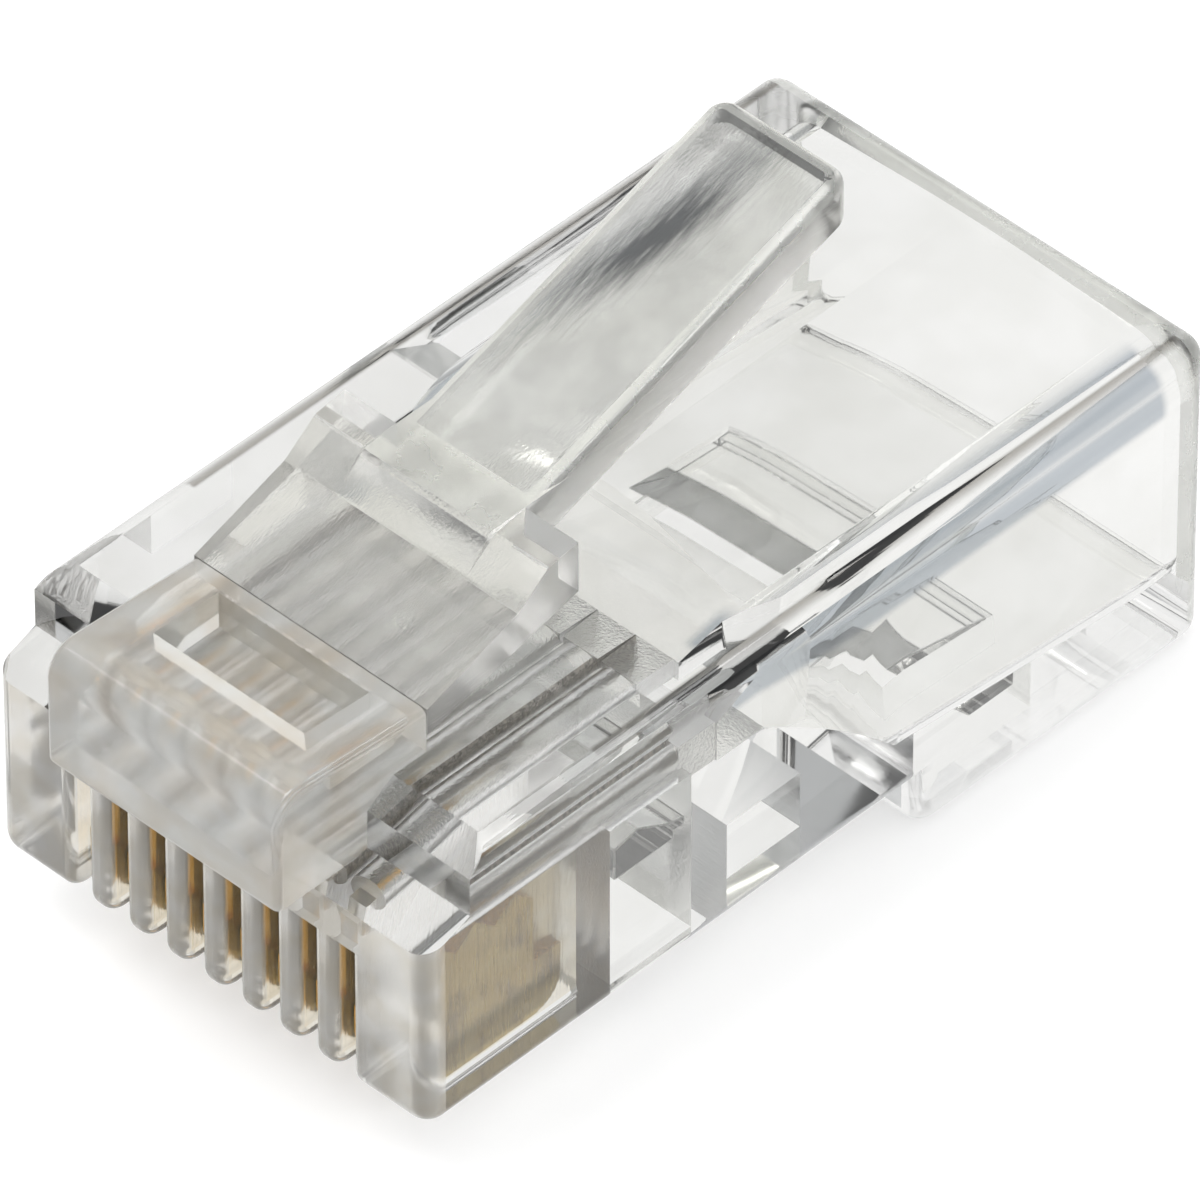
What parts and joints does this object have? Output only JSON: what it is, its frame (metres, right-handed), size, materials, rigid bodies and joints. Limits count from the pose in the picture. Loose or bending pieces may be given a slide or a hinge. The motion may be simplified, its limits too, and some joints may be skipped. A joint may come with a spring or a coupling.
{
  "type": "rj45 modular plug",
  "caption": "Clear moulded modular plug with an eight-way row of gold contact blades, a sprung latch tab and two crimp clamps, shown before it is fitted to a cable.",
  "frame": {"origin": "middle of the plug's width, level with the front ends of the contact ribs, in the plane of the rear collar's underside", "axes": "+Y runs from the nose back to the cable entry, +Z from the contact side to the latch side, +X to the right seen from the cable entry"},
  "size_m": [0.0116, 0.0231, 0.0133],
  "materials": {
    "clear_polycarbonate": "clear polished moulding",
    "gold_plated_contact": "gold plated bronze"
  },
  "bodies": {
    "housing": {"housing": "clear_polycarbonate"},
    "latch": {"latch": "clear_polycarbonate"},
    "conductor_clamp": {"conductor_clamp": "clear_polycarbonate"},
    "jacket_clamp": {"jacket_clamp": "clear_polycarbonate"},
    "contact_1": {"contact_1": "gold_plated_contact"},
    "contact_2": {"contact_2": "gold_plated_contact"},
    "contact_3": {"contact_3": "gold_plated_contact"},
    "contact_4": {"contact_4": "gold_plated_contact"},
    "contact_5": {"contact_5": "gold_plated_contact"},
    "contact_6": {"contact_6": "gold_plated_contact"},
    "contact_7": {"contact_7": "gold_plated_contact"},
    "contact_8": {"contact_8": "gold_plated_contact"}
  },
  "joints": [
    {"name": "latch_flex", "type": "hinge", "parent": "housing", "child": "latch", "pos_m": [0, 0.00283, 0.00826], "axis": [-1, 0, 0], "range_deg": [0, 15], "stiffness_Nm_per_rad": 0.3},
    {"name": "conductor_clamp_press", "type": "hinge", "parent": "housing", "child": "conductor_clamp", "pos_m": [0, 0.00765, 0.0042], "axis": [-1, 0, 0], "range_deg": [0, 20]},
    {"name": "jacket_clamp_press", "type": "hinge", "parent": "housing", "child": "jacket_clamp", "pos_m": [0, 0.01785, 0.00159], "axis": [-1, 0, 0], "range_deg": [0, 25]},
    {"name": "contact_1_press", "type": "slide", "parent": "housing", "child": "contact_1", "axis": [0, 0, 1], "range_m": [0, 0.00045]},
    {"name": "contact_2_press", "type": "slide", "parent": "housing", "child": "contact_2", "axis": [0, 0, 1], "range_m": [0, 0.00045]},
    {"name": "contact_3_press", "type": "slide", "parent": "housing", "child": "contact_3", "axis": [0, 0, 1], "range_m": [0, 0.00045]},
    {"name": "contact_4_press", "type": "slide", "parent": "housing", "child": "contact_4", "axis": [0, 0, 1], "range_m": [0, 0.00045]},
    {"name": "contact_5_press", "type": "slide", "parent": "housing", "child": "contact_5", "axis": [0, 0, 1], "range_m": [0, 0.00045]},
    {"name": "contact_6_press", "type": "slide", "parent": "housing", "child": "contact_6", "axis": [0, 0, 1], "range_m": [0, 0.00045]},
    {"name": "contact_7_press", "type": "slide", "parent": "housing", "child": "contact_7", "axis": [0, 0, 1], "range_m": [0, 0.00045]},
    {"name": "contact_8_press", "type": "slide", "parent": "housing", "child": "contact_8", "axis": [0, 0, 1], "range_m": [0, 0.00045]}
  ]
}
